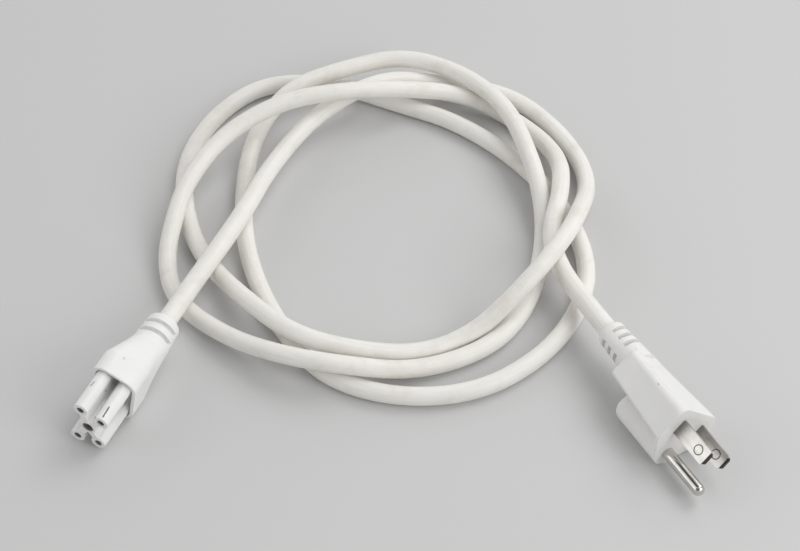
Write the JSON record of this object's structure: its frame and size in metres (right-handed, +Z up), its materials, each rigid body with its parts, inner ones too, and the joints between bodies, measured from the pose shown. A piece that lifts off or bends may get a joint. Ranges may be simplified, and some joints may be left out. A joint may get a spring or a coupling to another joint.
{
  "type": "power cord",
  "caption": "Round white power cord in loose loops, with a moulded flat-blade and round-pin wall plug at one end and a multi-sleeve connector at the other.",
  "frame": {"origin": "on the floor under the middle of the box round the plug and the connector", "axes": "+X from the connector to the plug, +Y from the two ends towards the loops, +Z up from the floor"},
  "size_m": [0.2408, 0.2272, 0.0265],
  "materials": {
    "cord_jacket": "satin soft white jacket",
    "plug_moulding": "satin white moulding",
    "bridge": "plain",
    "blade": "nickel plated, satin",
    "pin": "nickel plated, polished",
    "connector_moulding": "satin white moulding",
    "insert": "smooth white moulding",
    "socket": "plain",
    "live_insulation": "plain",
    "neutral_insulation": "plain",
    "earth_insulation": "plain",
    "strands": "bare copper"
  },
  "bodies": {
    "root": {"cord_jacket": "cord_jacket", "plug_overmould": "plug_moulding", "plug_bridge": "bridge", "live_blade": "blade", "neutral_blade": "blade", "ground_pin": "pin", "connector_overmould": "connector_moulding", "sleeve_insert": "insert", "upper_left_socket": "socket", "lower_left_socket": "socket", "upper_right_socket": "socket", "lower_right_socket": "socket", "centre_socket": "socket", "plug_live_core": "live_insulation", "plug_live_strands": "strands", "plug_neutral_core": "neutral_insulation", "plug_neutral_strands": "strands", "plug_earth_core": "earth_insulation", "plug_earth_strands": "strands", "connector_live_core": "live_insulation", "connector_live_strands": "strands", "connector_neutral_core": "neutral_insulation", "connector_neutral_strands": "strands", "connector_earth_core": "earth_insulation", "connector_earth_strands": "strands"}
  },
  "joints": []
}
